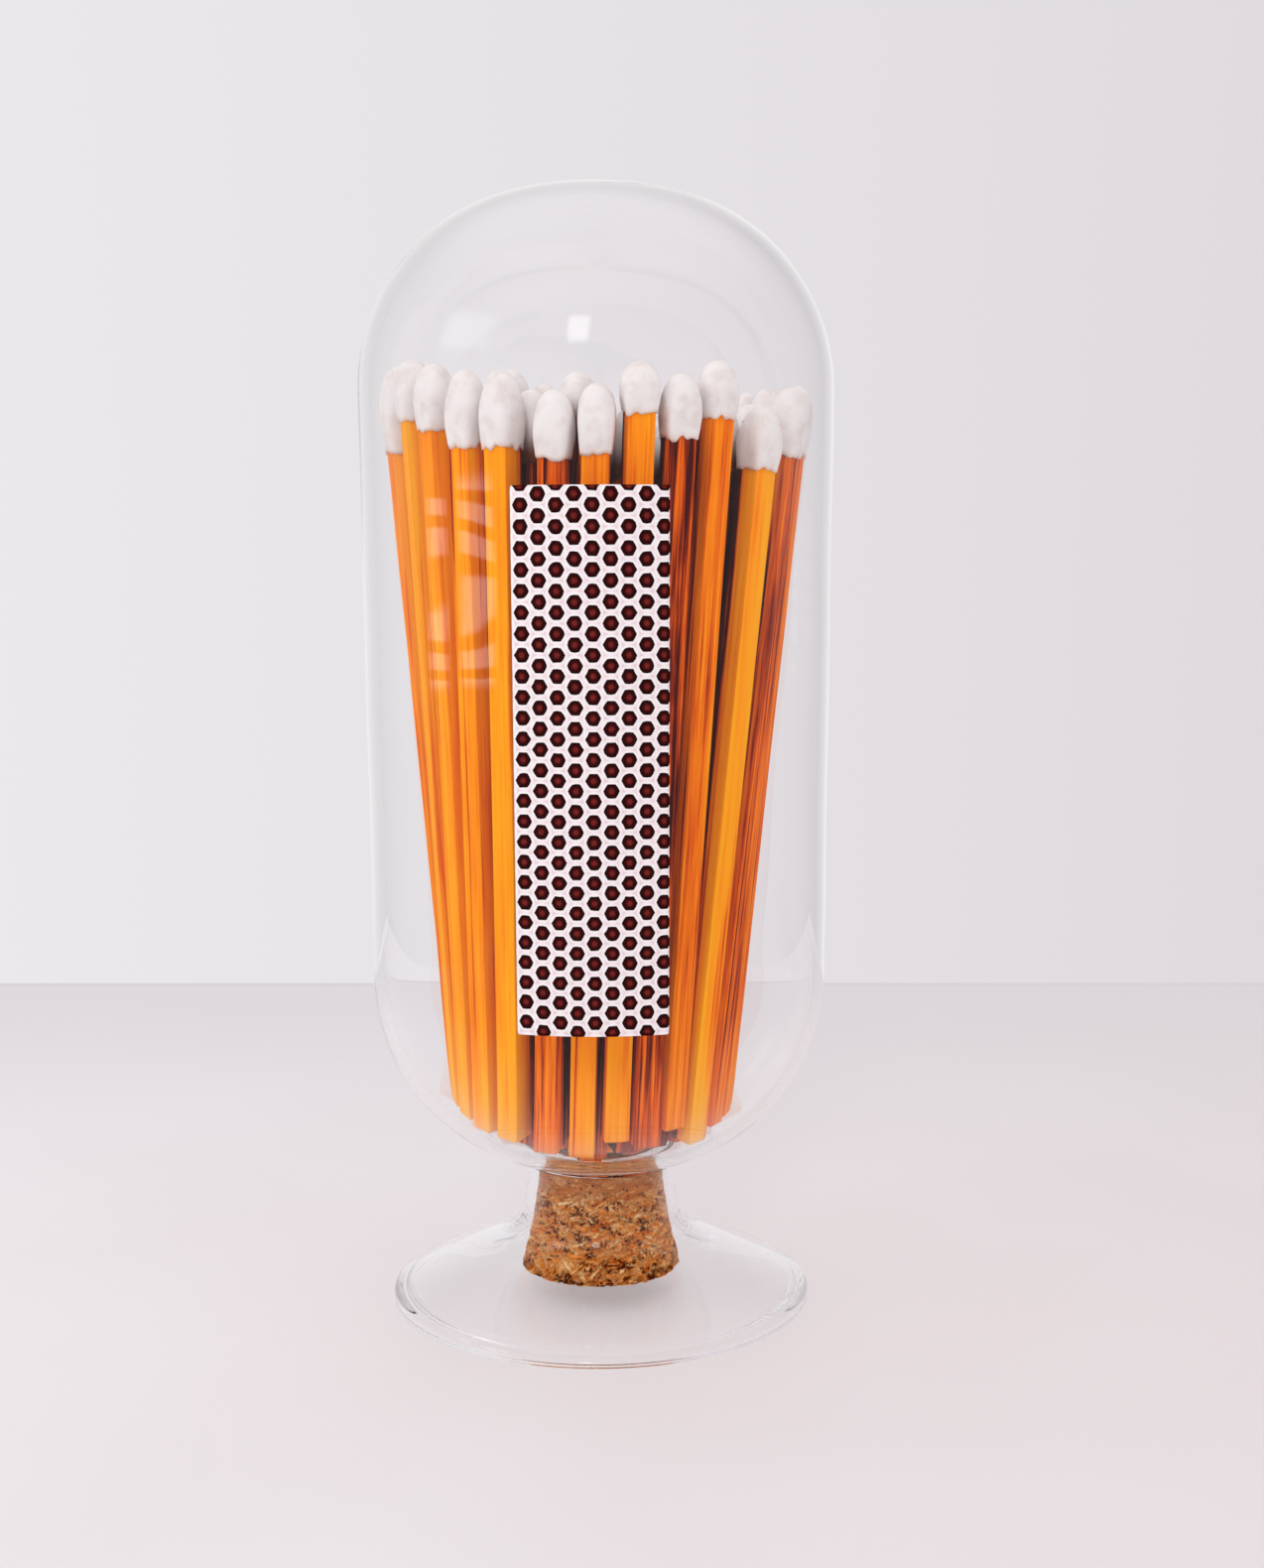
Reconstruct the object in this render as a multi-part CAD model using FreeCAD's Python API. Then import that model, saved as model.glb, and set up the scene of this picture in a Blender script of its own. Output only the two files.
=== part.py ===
import FreeCAD, Part
import math
import os

# Cloche jar of matches. A blown glass cloche stands on its own flared foot, holds a ring-packed
# bunch of long matches, is closed from below by a tapered cork and carries a striking label.
# All lengths are in millimetres and all angles in degrees. The foot rim stands at z = 0, the
# axis of the jar is Z and the label faces -Y.

Vector = FreeCAD.Vector
UP = Vector(0, 0, 1)

# Glass body, measured outside
body_radius = 33.0
glass_wall = 1.6
crown_radius = 52.0
haunch_radius = 26.7
wall_foot_height = 49.4
bowl_radius = 28.5

# Neck and foot
neck_wall = 1.5
neck_fillet = 1.8
throat_rounding = 0.5
knee_height = 11.3
knee_fillet = 8.0
foot_radius = 31.4
rim_height = 2.1
rim_width = 2.8
rim_rounding = 0.8

# Cork
cork_recess = 4.4
cork_height = 17.0
cork_top_radius = 8.85
cork_bottom_radius = 11.9
cork_rounding = 0.5
cork_seat = 0.05

# Striking label, a sheet glued round the front of the straight wall
label_width = 20.4
label_height = 70.5
label_drop = 1.9
label_thickness = 0.2
glue_line = 0.05

# Hexagonal striking pads on the label
pad_pitch = 2.65
pad_across_flats = 1.85
pad_thickness = 0.15
first_pad_inset = 1.33
first_row_inset = 1.09
smallest_pad_area = 0.4

# Matches
stick_width = 3.5
match_length = 104.0
head_length = 9.2
head_width = 4.9
head_corner_cut = 1.2
head_neck_width = 4.2
head_neck_corner_cut = 0.4
head_shoulder_width = 4.2
head_shoulder_corner_cut = 1.2
head_tip_width = 2.2
head_tip_corner_cut = 0.6
head_widest_at = 5.1
head_shoulder_at = 7.7
head_cover = 5.0
head_clearance = 0.03

# How the matches stand: in rings, heads spread at the top, feet drawn together in the bowl and
# all of them shifted a little to the left and to the back, so that the bunch leans
foot_ring_radius = 19.6
foot_shift_left = 1.4
foot_shift_back = 1.8
foot_gap = 0.6
least_foot_gap = 0.2
foot_ring_gap = 0.7
least_head_gap = 0.4
head_ring_gap = 0.6
rest_gap = 0.3
innermost_foot_radius = 2.6
head_room = 19.65

# Unevenness of the bunch, dealt out to the matches of each ring in turn: shares of the free
# room between heads and between feet in degrees, lifts off the glass, twists in degrees
head_shares = (0.1, 0.1, 0.9, 0.1, 3.5, 0.1, 0.1, 0.1, 0.1, 6.2, 6.5, 0.7, 12.5)
foot_shares = (1.5, 0.6, 0.6, 2.2, 4.0, 2.0, 1.2, 0.1, 0.1, 0.2, 1.5, 1.5, 3.5)
lifts = (0.9, 1.1, 0.8, 0.4, 0.5, 0.0, 0.0, 2.0, 1.0, 2.9, 0.0, 1.2, 1.2)
twists = (2.0, -1.5, 1.0, 2.5, -2.5, 0.5, -2.0, 1.5, -1.0, 2.2, -2.2, 1.0, -1.5)
evening_per_ring = 6.0
deal_step = 5
first_head_azimuth = -69.2
first_foot_azimuth = -84.0


def floor_height(radius):
    # inside of the bowl, level in the middle and rising to the wall
    from_centre = max(radius - bowl_across, 0)
    return wall_foot_height - math.sqrt((bowl_radius - glass_wall) ** 2 - from_centre ** 2)


# The dome is as high as the tallest match and the air above it ask, and its arcs follow from that
bowl_across = body_radius - bowl_radius
foot_shift = math.hypot(foot_shift_left, foot_shift_back)
outer_foot_corner = math.hypot(foot_ring_radius + foot_shift + stick_width / 2, stick_width / 2)
tallest_head = floor_height(outer_foot_corner) + rest_gap + max(lifts) + match_length
overall_height = tallest_head + head_room + glass_wall
crown_centre = overall_height - crown_radius
haunch_across = body_radius - haunch_radius
haunch_along = math.sqrt((crown_radius - haunch_radius) ** 2 - haunch_across ** 2)
haunch_centre = crown_centre + haunch_along


def section(corners):
    # a flat face in the XZ plane from corners given as radius and height
    points = [Vector(r, 0, z) for r, z in corners]
    return Part.Face(Part.makePolygon(points + points[:1]))


def arc_edge(centre, radius, start, end):
    # an arc in the XZ plane, between two angles measured up from +X
    def at(angle):
        turn = math.radians(angle)
        return Vector(centre[0] + radius * math.cos(turn), 0, centre[1] + radius * math.sin(turn))
    return Part.Arc(at(start), at((start + end) / 2), at(end)).toShape()


def line_edge(first, last):
    return Part.LineSegment(first, last).toShape()


def jar_section(inset):
    # half section of the closed jar without its neck: crown, haunch, straight wall and round
    # bowl, all moved in by the inset, so that the outside and the hollow share their centres
    meeting = math.degrees(math.atan2(haunch_along, haunch_across))
    crown = arc_edge((0, crown_centre), crown_radius - inset, meeting, 90)
    haunch = arc_edge((haunch_across, haunch_centre), haunch_radius - inset, 0, meeting)
    bowl = arc_edge((bowl_across, wall_foot_height), bowl_radius - inset, -90, 0)
    top = crown.Vertexes[-1].Point
    bowl_low = bowl.Vertexes[0].Point
    low = Vector(0, 0, bowl_low.z)
    wall = line_edge(bowl.Vertexes[-1].Point, haunch.Vertexes[0].Point)
    outline = [line_edge(low, bowl_low), bowl, wall, haunch, crown, line_edge(top, low)]
    return Part.Face(Part.Wire(outline))


def cork_radius(height):
    taper = (cork_bottom_radius - cork_top_radius) / cork_height
    return cork_bottom_radius - taper * (height - cork_recess)


def bore_radius(height):
    return cork_radius(height) + cork_seat


def neck_radius(height):
    return bore_radius(height) + neck_wall


def hollow_radius(height):
    # inside of the straight wall and the haunch, where the heads stand
    above = max(height - haunch_centre, 0)
    return haunch_across + math.sqrt((haunch_radius - glass_wall) ** 2 - above ** 2)


def ring_edge(solid, radius, height):
    # the circular edge that lies nearest to a radius and a height
    def miss(edge):
        return math.hypot(edge.Curve.Radius - radius, edge.Curve.Center.z - height)
    whole = [edge for edge in solid.Edges if not edge.Degenerated and edge.Closed]
    return min((edge for edge in whole if isinstance(edge.Curve, Part.Circle)), key=miss)


def glass_cloche():
    bowl_low = wall_foot_height - bowl_radius
    neck_top = floor_height(0)
    knee = (neck_radius(knee_height), knee_height)
    slope = (knee_height - rim_height) / (foot_radius - knee[0])
    drop = glass_wall * math.hypot(1, slope)
    rim_inside = foot_radius - rim_width

    def underside(radius):
        return knee_height - slope * (radius - knee[0]) - drop

    # the bore meets the underside where its radius, which grows downwards, reaches it
    bore_slope = (cork_bottom_radius - cork_top_radius) / cork_height
    at_knee = bore_radius(knee_height)
    fall = (knee_height - underside(at_knee)) / (1 - slope * bore_slope)
    bore_foot = knee_height - fall
    skirt = section([
        (bore_radius(neck_top), neck_top),
        (neck_radius(neck_top), neck_top),
        knee,
        (foot_radius, rim_height),
        (foot_radius, 0),
        (rim_inside, 0),
        (rim_inside, underside(rim_inside)),
        (bore_radius(bore_foot), bore_foot),
    ])
    bore_top = neck_top + glass_wall
    bore = section([
        (0, bore_foot),
        (bore_radius(bore_foot), bore_foot),
        (bore_radius(bore_top), bore_top),
        (0, bore_top),
    ])
    cut_through = jar_section(0).fuse(skirt).cut(jar_section(glass_wall)).cut(bore).removeSplitter()
    glass = cut_through.Faces[0].revolve(Vector(0, 0, 0), UP, 360)
    rounded = (
        (knee_fillet, knee[0], knee_height),
        (knee_fillet + glass_wall, bore_radius(bore_foot), bore_foot),
        (neck_fillet, neck_radius(bowl_low), bowl_low),
        (throat_rounding, bore_radius(neck_top), neck_top),
        (rim_rounding, foot_radius, rim_height),
        (rim_rounding, foot_radius, 0),
        (rim_rounding, rim_inside, 0),
    )
    for size, radius, height in rounded:
        glass = glass.makeFillet(size, [ring_edge(glass, radius, height)])
    return glass


def cork_stopper():
    cork = Part.makeCone(cork_bottom_radius, cork_top_radius, cork_height, Vector(0, 0, cork_recess))
    ends = [ring_edge(cork, cork_bottom_radius, cork_recess),
            ring_edge(cork, cork_top_radius, cork_recess + cork_height)]
    return cork.makeFillet(cork_rounding, ends)


def label_bottom():
    return wall_foot_height - label_drop


def label_radius():
    return body_radius + glue_line


def striker_label():
    # a sector of a thin tube, turned so that its middle faces -Y
    spread = math.degrees(label_width / label_radius())
    base = Vector(0, 0, label_bottom())
    outer = Part.makeCylinder(label_radius() + label_thickness, label_height, base, UP, spread)
    inner = Part.makeCylinder(label_radius(), label_height, base, UP, spread)
    label = outer.cut(inner)
    label.rotate(Vector(0, 0, 0), UP, -90 - spread / 2)
    return label


def flat_face(corners):
    points = [Vector(x, y, 0) for x, y in corners]
    return Part.Face(Part.makePolygon(points + points[:1]))


def striker_pads():
    # a honeycomb of small hexagons with corners to the left and right, each lying flat on the
    # label's round face and cut off at its edges, those of the row above its top too
    sheet = flat_face([(0, 0), (label_width, 0), (label_width, label_height), (0, label_height)])
    corner_radius = pad_across_flats / math.sqrt(3)
    column_pitch = pad_pitch * math.cos(math.radians(30))
    face_radius = label_radius() + label_thickness
    corners = [math.radians(60 * k) for k in range(6)]
    hexagon = [(corner_radius * math.cos(a), corner_radius * math.sin(a)) for a in corners]
    columns = int((label_width - first_pad_inset + corner_radius) / column_pitch) + 1
    rows = int((label_height - first_row_inset + pad_pitch) / pad_pitch) + 1
    pads = []
    for column in range(columns):
        across = first_pad_inset + column * column_pitch
        for row in range(-1, rows):
            down = first_row_inset + (row + 0.5 * ((column + 1) % 2)) * pad_pitch
            up = label_height - down
            inside = sheet.common(flat_face([(across + x, up + y) for x, y in hexagon]))
            if inside.Area < smallest_pad_area:
                continue
            pad = inside.Faces[0].extrude(Vector(0, 0, pad_thickness))
            pad.translate(Vector(-across, 0, 0))
            pad.rotate(Vector(0, 0, 0), Vector(1, 0, 0), 90)
            pad.translate(Vector(0, -face_radius, label_bottom()))
            turn = math.degrees((across - label_width / 2) / (label_radius() + label_thickness))
            pad.rotate(Vector(0, 0, 0), UP, turn)
            pads.append(pad)
    return Part.makeCompound(pads)


def head_ring(width, corner_cut, height):
    # a square with its corners cut off, level at a height
    side = width / 2
    near = side - corner_cut
    quarter = [(side, -near), (side, near)]
    corners = []
    for _ in range(4):
        corners += quarter
        quarter = [(-y, x) for x, y in quarter]
    return [Vector(x, y, height) for x, y in corners]


def flat_sided(rings):
    # a solid with flat faces from rings of corners, one above the other
    def face(corners):
        return Part.Face(Part.makePolygon(corners + corners[:1]))
    faces = [face(rings[0]), face(rings[-1])]
    for lower, upper in zip(rings, rings[1:]):
        for k in range(len(lower)):
            after = (k + 1) % len(lower)
            faces.append(face([lower[k], lower[after], upper[after], upper[k]]))
    return Part.Solid(Part.Shell(faces))


def square_bar(width, length, base):
    return Part.makeBox(width, width, length, Vector(-width / 2, -width / 2, base))


def upright_match():
    # a match standing on the origin: a square stick that reaches into the socket of its head
    head_base = match_length - head_length
    stick = square_bar(stick_width, head_base + head_cover, 0)
    head = flat_sided([
        head_ring(head_neck_width, head_neck_corner_cut, head_base),
        head_ring(head_width, head_corner_cut, head_base + head_widest_at),
        head_ring(head_shoulder_width, head_shoulder_corner_cut, head_base + head_shoulder_at),
        head_ring(head_tip_width, head_tip_corner_cut, match_length),
    ])
    socket = square_bar(stick_width + 2 * head_clearance, head_cover + head_clearance, head_base)
    return stick, head.cut(socket)


def dealt(values, index, ring):
    # each ring starts further along the list, so that no two rings look alike
    return values[(index + deal_step * ring) % len(values)]


def stick_angle(foot_at, gap):
    # the part of the circle that a stick and its gap take up, at the stick's inner face
    return 2 * math.degrees(math.atan2((stick_width + gap) / 2, foot_at - stick_width / 2))


def head_angle(head_at, gap):
    return 2 * math.degrees(math.asin((head_width + gap) / 2 / head_at))


def dealt_azimuths(first, count, own, shares, ring):
    # each match takes its own angle, and what is left of the circle is dealt out between them,
    # unevenly in the outer ring and more evenly in each ring further in
    extra = [dealt(shares, k, ring) + evening_per_ring * ring for k in range(count)]
    scale = (360 - count * own) / sum(extra)
    return [first + k * own + scale * sum(extra[:k]) for k in range(count)]


def outward(azimuth):
    # unit vector away from the axis, with azimuth 0 at the front and growing to the right
    turn = math.radians(azimuth)
    return Vector(math.sin(turn), -math.cos(turn), 0)


def ring_radii():
    # the radii at which the feet and the heads of each ring stand, from the glass inwards
    head_reach = math.hypot(head_width / 2, head_width / 2 - head_corner_cut)
    foot_at = foot_ring_radius
    head_at = hollow_radius(tallest_head) - rest_gap - head_reach
    radii = []
    while foot_at > innermost_foot_radius and head_at > head_reach:
        radii.append((foot_at, head_at))
        foot_at -= stick_width + foot_ring_gap
        head_at -= head_width + head_ring_gap
    return radii


def seat_height(foot):
    # what a foot stands on: the cork's top where it clears the throat, or the bowl's floor at its
    # outermost corner
    corner = math.hypot(foot.Length + stick_width / 2, stick_width / 2)
    cork_top = cork_recess + cork_height
    return cork_top if corner + 2 * rest_gap < bore_radius(cork_top) else floor_height(corner)


def ring_placements(ring, foot_at, head_at):
    # where each match of a ring stands, foot on the glass or on the cork and head leaning out
    count = int(360 / max(stick_angle(foot_at, foot_gap), head_angle(head_at, least_head_gap)))
    foot_own = stick_angle(foot_at, least_foot_gap)
    head_own = head_angle(head_at, least_head_gap)
    foot_azimuths = dealt_azimuths(first_foot_azimuth, count, foot_own, foot_shares, ring)
    head_azimuths = dealt_azimuths(first_head_azimuth, count, head_own, head_shares, ring)
    shift = Vector(-foot_shift_left, foot_shift_back, 0)
    along = match_length - head_length + head_widest_at
    placements = []
    for k in range(count):
        foot = outward(foot_azimuths[k]) * foot_at + shift
        across = outward(head_azimuths[k]) * head_at - foot
        axis = Vector(across.x, across.y, math.sqrt(along ** 2 - across.Length ** 2))
        low_corner = stick_width / math.sqrt(2) * across.Length / along
        foot.z = seat_height(foot) + rest_gap + low_corner + dealt(lifts, k, ring)
        turn = FreeCAD.Rotation(outward(foot_azimuths[k]), Vector(0, 0, 0), axis, "ZXY")
        twist = FreeCAD.Rotation(UP, dealt(twists, k, ring))
        placements.append(FreeCAD.Placement(foot, turn.multiply(twist)))
    return placements


def placed(shape, placement):
    moved = shape.copy()
    moved.Placement = placement
    return moved


def matches():
    # the outer ring's sticks are pieces of their own, and the rest is one group for each ring
    stick, head = upright_match()
    nodes = {}
    for ring, (foot_at, head_at) in enumerate(ring_radii()):
        places = ring_placements(ring, foot_at, head_at)
        sticks = [placed(stick, place) for place in places]
        if ring == 0:
            for number, shape in enumerate(sticks, 1):
                nodes["outer_stick_%02d" % number] = shape
        else:
            nodes["ring_%d_sticks" % (ring + 1)] = Part.makeCompound(sticks)
        nodes["ring_%d_heads" % (ring + 1)] = Part.makeCompound([placed(head, place) for place in places])
    return nodes


pieces = {
    "glass_cloche": glass_cloche(),
    "cork_stopper": cork_stopper(),
    "striker_label": striker_label(),
    "striker_pads": striker_pads(),
}
pieces.update(matches())

os.makedirs("parts", exist_ok=True)
for name, shape in pieces.items():
    shape.exportStep("parts/%s.step" % name)
print("%d nodes, %d solids" % (len(pieces), sum(len(shape.Solids) for shape in pieces.values())))
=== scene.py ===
import math
import bpy
import numpy as np
from mathutils import Matrix, Vector


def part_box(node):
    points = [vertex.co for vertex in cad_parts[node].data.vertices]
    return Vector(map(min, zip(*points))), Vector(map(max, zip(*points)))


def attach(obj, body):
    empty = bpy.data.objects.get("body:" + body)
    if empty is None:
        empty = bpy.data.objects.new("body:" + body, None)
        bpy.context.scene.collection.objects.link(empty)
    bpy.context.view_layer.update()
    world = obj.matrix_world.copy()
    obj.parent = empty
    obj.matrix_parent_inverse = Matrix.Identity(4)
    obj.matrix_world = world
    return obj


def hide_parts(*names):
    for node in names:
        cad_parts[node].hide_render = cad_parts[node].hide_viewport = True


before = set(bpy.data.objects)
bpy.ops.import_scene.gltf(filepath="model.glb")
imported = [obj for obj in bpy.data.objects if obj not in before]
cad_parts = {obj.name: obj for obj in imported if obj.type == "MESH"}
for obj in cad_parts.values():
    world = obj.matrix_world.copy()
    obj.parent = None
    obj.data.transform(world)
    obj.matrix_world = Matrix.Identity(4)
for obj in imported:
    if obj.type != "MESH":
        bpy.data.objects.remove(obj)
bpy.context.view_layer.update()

# A cloche jar of long matches: blown glass, a tapered cork, a striking label and the matches.
# Sizes in the dictionaries are millimetres and angles are degrees, unless a note says otherwise.
# The jar's axis is Z, its foot stands at z = 0 and the label faces -Y.
mm = 0.001
tau = 2 * math.pi
scene = bpy.context.scene


def colour(red, green, blue):
    # 0 to 255 as on a screen, to the linear values that a shader takes
    screen = np.array([red, green, blue]) / 255
    linear = np.where(screen <= 0.04045, screen / 12.92, ((screen + 0.055) / 1.055) ** 2.4)
    return (*linear.tolist(), 1.0)


def boxOf(node):
    # lowest and highest corner of a node of the frame, in millimetres
    low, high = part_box(node)
    return np.array(low) / mm, np.array(high) / mm


def smoothStep(values, low, high):
    # 0 below low, 1 above high, 3t^2 - 2t^3 between them
    t = np.clip((values - low) / (high - low), 0, 1)
    return t * t * (3 - 2 * t)


# Meshes

def withEnds(values):
    # flattens (tubes, rings, around, ...) and adds the mean of the first and the last ring
    tubes, rings, around = values.shape[:3]
    flat = values.reshape(tubes, rings * around, -1)
    ends = values[:, (0, -1)].mean(axis=2).reshape(tubes, 2, -1)
    return np.concatenate([flat, ends], axis=1).reshape(tubes * (rings * around + 2), -1)


def tubePiece(name, rings, marks):
    # Closed tubes from an array (tubes, rings, around, 3) in millimetres: point j of ring i joins
    # point j + 1 and ring i + 1, and each end closes on the mean of its ring. Faces point out
    # where the rings run anticlockwise about the way that they advance.
    tubes, count, around = rings.shape[:3]
    row, column = np.meshgrid(np.arange(count - 1), np.arange(around), indexing="ij")
    after = (column + 1) % around
    quads = np.stack([row * around + column, row * around + after,
                      (row + 1) * around + after, (row + 1) * around + column], axis=-1)
    here = np.arange(around)
    beside = (here + 1) % around
    last = (count - 1) * around
    lowEnd = np.stack([np.full(around, count * around), beside, here], axis=-1)
    highEnd = np.stack([np.full(around, count * around + 1), last + here, last + beside], axis=-1)
    start = (np.arange(tubes) * (count * around + 2))[:, None, None]
    faces = (start + quads.reshape(1, -1, 4)).reshape(-1, 4).tolist()
    faces += (start + np.concatenate([lowEnd, highEnd])[None]).reshape(-1, 3).tolist()
    mesh = bpy.data.meshes.new(name)
    mesh.from_pydata((withEnds(rings) * mm).tolist(), [], faces)
    mesh.polygons.foreach_set("use_smooth", np.ones(len(faces), bool))
    for key, values in marks.items():
        flat = withEnds(values)
        kind, field = ("FLOAT", "value") if flat.shape[1] == 1 else ("FLOAT_VECTOR", "vector")
        attribute = mesh.attributes.new(key, kind, "POINT")
        attribute.data.foreach_set(field, flat.astype(np.float32).ravel())
    mesh.update()
    piece = bpy.data.objects.new(name, mesh)
    scene.collection.objects.link(piece)
    return piece


def dress(piece, material, slot, *nodes):
    # gives a piece its finish and its place on the frame, and hides the nodes that it stands for
    piece.data.materials.append(material)
    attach(piece, "root")
    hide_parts(*nodes)


# Shader maths

class Signal:
    # a socket of a material; + - * and ** on values add Math nodes
    def __init__(self, socket):
        self.socket = socket

    def node(self, kind, settings, sockets, output=0):
        # any other node: its settings first, then its sockets by name or number
        tree = self.socket.id_data
        made = tree.nodes.new("ShaderNode" + kind)
        for key, value in settings.items():
            if key == "stops":
                fillRamp(made.color_ramp, value)
            else:
                setattr(made, key, value)
        for key, value in sockets.items():
            plug(made.inputs[key], value)
        return Signal(made.outputs[output])

    def maths(self, operation, first, second=0.0, clamp=False):
        settings = {"operation": operation, "use_clamp": clamp}
        return self.node("Math", settings, {0: first, 1: second})

    def __add__(self, other):
        return self.maths("ADD", self, other)

    def __radd__(self, other):
        return self.maths("ADD", other, self)

    def __sub__(self, other):
        return self.maths("SUBTRACT", self, other)

    def __rsub__(self, other):
        return self.maths("SUBTRACT", other, self)

    def __mul__(self, other):
        return self.maths("MULTIPLY", self, other)

    def __rmul__(self, other):
        return self.maths("MULTIPLY", other, self)

    def __pow__(self, other):
        return self.maths("POWER", self, other)

    def limited(self):
        return self.maths("ADD", self, 0.0, clamp=True)

    def by(self, operation, other=0.0):
        # a Math node that has no operator, such as FRACT or MINIMUM
        return self.maths(operation, self, other)

    def mix(self, first, second):
        # first where this value is 0, second where it is 1, both colours
        return self.node("Mix", {"data_type": "RGBA"}, {0: self, 6: first, 7: second}, output=2)

    def stretched(self, factors):
        # this vector times one factor for each axis
        return self.node("VectorMath", {"operation": "MULTIPLY"}, {0: self, 1: factors})

    def stretchedBy(self, factor):
        # this colour or vector times a value
        return self.node("VectorMath", {"operation": "SCALE"}, {0: self, "Scale": factor})

    def part(self, axis):
        # the X, Y or Z of this vector
        return self.node("SeparateXYZ", {}, {0: self}, axis)

    def noise(self, scale, detail=2.0, roughness=0.5):
        sockets = {"Vector": self, "Scale": scale, "Detail": detail, "Roughness": roughness}
        return self.node("TexNoise", {}, sockets, "Fac")

    def cells(self, scale):
        # distance to the nearest of scattered points
        return self.node("TexVoronoi", {}, {"Vector": self, "Scale": scale}, "Distance")

    def ramp(self, stops):
        return self.node("ValToRGB", {"stops": stops}, {"Fac": self}, "Color")

    def between(self, low, high):
        # 0 below low and 1 above high, smooth between them
        settings = {"interpolation_type": "SMOOTHSTEP"}
        return self.node("MapRange", settings, {"Value": self, "From Min": low, "From Max": high})

    def relief(self, depth, strength=1.0):
        # a bump, in millimetres at full height
        sockets = {"Height": self, "Distance": depth * mm, "Strength": strength}
        return self.node("Bump", {}, sockets, "Normal")


def plug(socket, value):
    if isinstance(value, Signal):
        socket.id_data.links.new(value.socket, socket)
    else:
        socket.default_value = value


def fillRamp(ramp, stops):
    while len(ramp.elements) < len(stops):
        ramp.elements.new(1.0)
    for element, (position, tint) in zip(ramp.elements, stops):
        element.position = position
        element.color = tint


def newFinish(name, roughness, specular, more):
    # a material, its shader with the sockets that are the same all over, and the Object
    # coordinates in millimetres
    material = bpy.data.materials.new(name)
    material.use_nodes = True
    nodes = material.node_tree.nodes
    shader = nodes["Principled BSDF"]
    plain = {"Roughness": roughness, "Specular IOR Level": specular, **more}
    for key, value in plain.items():
        shader.inputs[key].default_value = value
    place = Signal(nodes.new("ShaderNodeTexCoord").outputs["Object"])
    return material, shader, place.stretched((1 / mm, 1 / mm, 1 / mm))


def attributeIn(material, name, output):
    node = material.node_tree.nodes.new("ShaderNodeAttribute")
    node.attribute_name = name
    return Signal(node.outputs[output])


def rayIs(tree, kind):
    # 1 for rays of one kind, such as Glossy, and 0 for others
    return Signal(tree.nodes.new("ShaderNodeLightPath").outputs["Is " + kind + " Ray"])


# Glass cloche

glassForm = {
    "bodyRadius": 33.0,
    "wall": 1.6,
    "crownRadius": 52.0,
    "haunchRadius": 26.7,
    "wallFootHeight": 49.4,
    "bowlRadius": 28.5,
    "neckWall": 1.5,
    "neckSoftness": 1.5,
    "throatSoftness": 0.5,
    "kneeHeight": 11.3,
    "kneeSoftness": 4.0,
    "boreSoftness": 4.8,
    "footRadius": 31.4,
    "rimHeight": 2.1,
    "rimWidth": 2.8,
    "rimSoftness": 0.8,
    "corkRecess": 4.4,
    "corkHeight": 17.0,
    "boreTopRadius": 8.9,
    "boreBottomRadius": 11.95,
    "fineStep": 0.04,
    "step": 2.2,
    "turnStep": 6.0,
    "around": 240,
    "bodyWobble": 0.06,
    "footWobble": 0.15,
    "waves": ((2, 41.0), (3, -29.0), (5, 19.0), (9, 37.0)),  # count round, height of a whole turn
    "fadeOverKnee": 6.0,
    "fadeOverRim": 3.0,
    "fadeOverCork": 2.0,
    "stillRadius": 2.0,  # no waves about the axis
    "wavyRadius": 12.0,
    "neckReach": 15.0,  # the glass that holds the cork lies within this radius and height
    "neckTop": 24.0,
    "seed": 4,
}
glassFinish = {
    "tint": (0.997, 0.996, 0.997, 1.0),
    "shadowTint": (0.995, 0.995, 0.995, 1.0),
    "ior": 1.46,
    "mirrorTint": (0.5, 0.5, 0.5, 1.0),  # thin clean glass, seen nearly square on, mirrors little
    "waveSize": 0.045,
    "waveStretch": (1, 1, 0.55),
    "waveDepth": 0.035,
}


def arcPoints(centre, radius, start, end, step):
    # points on an arc about a centre (radius, height), between two angles up from the horizontal
    count = max(2, int(abs(math.radians(end - start)) * radius / step) + 1)
    turn = np.radians(np.linspace(start, end, count))
    return np.stack([centre[0] + radius * np.cos(turn), centre[1] + radius * np.sin(turn)], axis=-1)


def softenedPath(path, corners, fineStep):
    # Rounds corners of a path: each point becomes the mean of the path over as much on both sides
    # as the nearest corner asks, P(s) = (C(s + h) - C(s - h)) / 2h with C the running integral
    length = np.append(0, np.cumsum(np.linalg.norm(np.diff(path, axis=0), axis=1)))
    fine = np.arange(0, length[-1], fineStep)
    even = np.stack([np.interp(fine, length, path[:, k]) for k in range(2)], axis=-1)
    summed = np.cumsum((even[1:] + even[:-1]) / 2, axis=0)
    running = np.concatenate([np.zeros((1, 2)), summed]) * fineStep
    half = np.full(len(fine), fineStep)
    for spot, softness in corners:
        at = fine[np.argmin(np.linalg.norm(even - spot, axis=1))]
        half = np.where(abs(fine - at) < softness * 1.001, softness, half)
    half = np.minimum(half, np.minimum(fine, fine[-1] - fine) + 1e-6)

    def integral(at):
        return np.stack([np.interp(at, fine, running[:, k]) for k in range(2)], axis=-1)
    smooth = (integral(fine + half) - integral(fine - half)) / (2 * half[:, None])
    smooth[0] = even[0]
    smooth[-1] = even[-1]
    return smooth


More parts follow.
